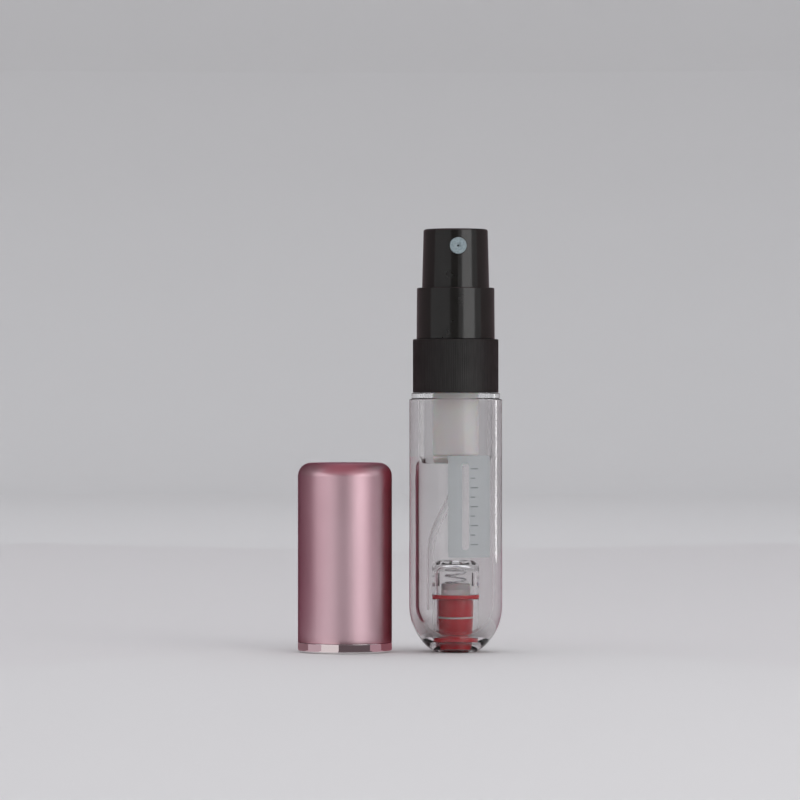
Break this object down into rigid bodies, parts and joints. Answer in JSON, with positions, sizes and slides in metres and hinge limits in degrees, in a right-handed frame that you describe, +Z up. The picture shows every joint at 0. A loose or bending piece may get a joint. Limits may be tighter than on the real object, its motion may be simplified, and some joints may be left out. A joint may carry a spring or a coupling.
{
  "type": "refillable perfume atomiser",
  "caption": "Slim clear refillable perfume atomiser with a black stepped spray head, a red refill valve in its round base, and its pink metal cap standing beside it.",
  "frame": {"origin": "on the surface the object stands on, under the centre of the box around the standing bottle and the cap beside it", "axes": "+Z up along the bottle and the cap, +X from the cap towards the bottle, +Y away from the side that the nozzle faces"},
  "size_m": [0.0378, 0.0174, 0.0782],
  "materials": {
    "clear_plastic": "clear, polished",
    "frosted_plastic": "translucent, lightly frosted",
    "level_print": "silver-white screen print",
    "satin_black": "satin, fine vertical grain",
    "gloss_black": "polished",
    "nozzle_plastic": "smooth pale blue-grey",
    "natural_plastic": "natural white, satin",
    "seal_rubber": "matte grey",
    "spring_steel": "bright drawn wire",
    "red_plastic": "polished red",
    "pink_aluminium": "satin pink anodised",
    "polished_metal": "mirror polished"
  },
  "bodies": {
    "bottle": {"clear_bottle": "clear_plastic", "level_print": "level_print", "neck_insert": "clear_plastic", "closure_ring": "satin_black", "collar_sleeve": "gloss_black", "pump_housing": "frosted_plastic", "pump_gasket": "seal_rubber", "pump_turret": "natural_plastic", "pump_spring": "spring_steel", "dip_tube": "clear_plastic", "valve_sleeve": "clear_plastic", "valve_cage": "clear_plastic", "refill_socket": "red_plastic", "stem_seal": "natural_plastic", "valve_seat": "red_plastic", "valve_spring": "spring_steel"},
    "stem": {"pump_stem": "natural_plastic", "pump_piston": "natural_plastic"},
    "actuator": {"actuator_button": "gloss_black", "nozzle_insert": "nozzle_plastic"},
    "ball": {"inlet_ball": "spring_steel"},
    "poppet": {"valve_poppet": "frosted_plastic"},
    "cap": {"cap_shell": "pink_aluminium", "cap_liner": "natural_plastic", "cap_rim": "polished_metal"}
  },
  "joints": [
    {"name": "cap_lift", "type": "slide", "parent": "bottle", "child": "cap", "axis": [0, 0, 1], "range_m": [0, 0.08]},
    {"name": "spray_press", "type": "slide", "parent": "bottle", "child": "stem", "axis": [0, 0, -1], "range_m": [0, 0.0042], "stiffness_N_per_m": 1500, "deforming": ["pump_spring"]},
    {"name": "actuator_turn", "type": "hinge", "parent": "stem", "child": "actuator", "pos_m": [0.0103, 0, 0.075], "axis": [0, 0, 1], "continuous": true},
    {"name": "refill_valve", "type": "slide", "parent": "bottle", "child": "poppet", "axis": [0, 0, 1], "range_m": [0, 0.0022], "stiffness_N_per_m": 400, "deforming": ["valve_spring"]},
    {"name": "inlet_valve", "type": "slide", "parent": "bottle", "child": "ball", "axis": [0, 0, 1], "range_m": [0, 0.0006]}
  ]
}
